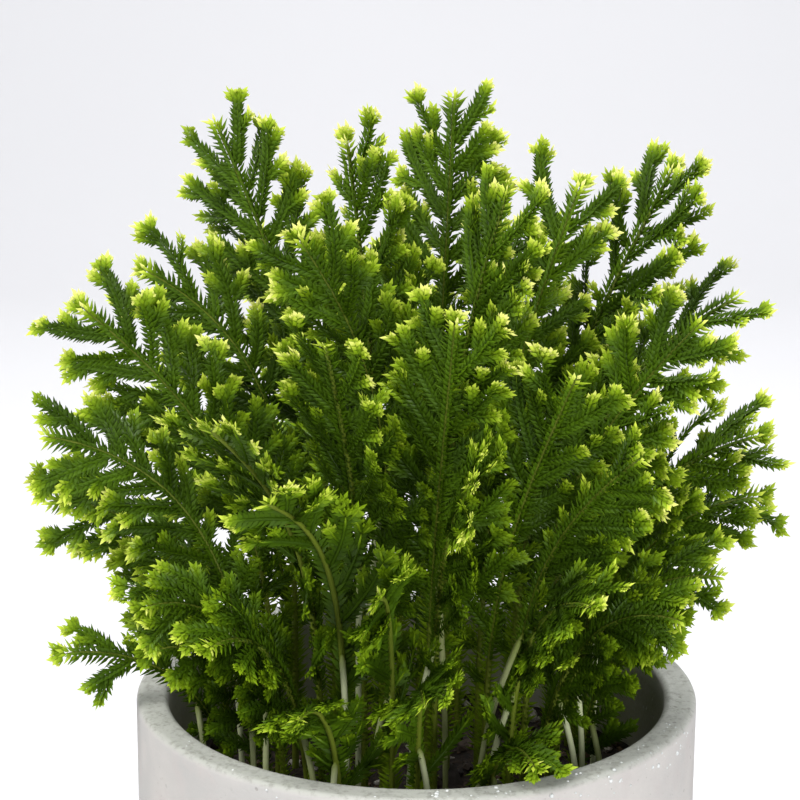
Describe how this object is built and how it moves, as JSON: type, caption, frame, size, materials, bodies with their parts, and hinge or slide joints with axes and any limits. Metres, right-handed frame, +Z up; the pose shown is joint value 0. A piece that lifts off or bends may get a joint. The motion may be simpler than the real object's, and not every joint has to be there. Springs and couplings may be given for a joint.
{
  "type": "potted spikemoss plant",
  "caption": "Clump of upright leafy stems with flat, forked, toothed sprays and pale stilt roots, in soil in a straight round pot.",
  "frame": {"origin": "middle of the pot's flat underside", "axes": "+Z up along the pot's axis, -Y to the front as pictured, +X to the viewer's right"},
  "size_m": [0.1743, 0.1496, 0.2522],
  "materials": {
    "foliage": "satin leafy green, paler towards the tips",
    "concrete": "matte cast concrete with fine pits",
    "soil": "rough dark potting soil of peat and bark"
  },
  "bodies": {
    "root": {"leafy_stem_01": "foliage", "leafy_stem_02": "foliage", "leafy_stem_03": "foliage", "leafy_stem_04": "foliage", "leafy_stem_05": "foliage", "leafy_stem_06": "foliage", "leafy_stem_07": "foliage", "leafy_stem_08": "foliage", "leafy_stem_09": "foliage", "leafy_stem_10": "foliage", "leafy_stem_11": "foliage", "leafy_stem_12": "foliage", "leafy_stem_13": "foliage", "leafy_stem_14": "foliage", "leafy_stem_15": "foliage", "leafy_stem_16": "foliage", "leafy_stem_17": "foliage", "leafy_stem_18": "foliage", "leafy_stem_19": "foliage", "leafy_stem_20": "foliage", "leafy_stem_21": "foliage", "leafy_stem_22": "foliage", "leafy_stem_23": "foliage", "leafy_stem_24": "foliage", "leafy_stem_25": "foliage", "leafy_stem_26": "foliage", "leafy_stem_27": "foliage", "leafy_stem_28": "foliage", "leafy_stem_29": "foliage", "leafy_stem_30": "foliage", "leafy_stem_31": "foliage", "leafy_stem_32": "foliage", "leafy_stem_33": "foliage", "leafy_stem_34": "foliage", "leafy_stem_35": "foliage", "leafy_stem_36": "foliage", "leafy_stem_37": "foliage", "leafy_stem_38": "foliage", "leafy_stem_39": "foliage", "leafy_stem_40": "foliage", "leafy_stem_41": "foliage", "leafy_stem_42": "foliage", "leafy_stem_43": "foliage", "leafy_stem_44": "foliage", "pot": "concrete", "soil": "soil"}
  },
  "joints": []
}
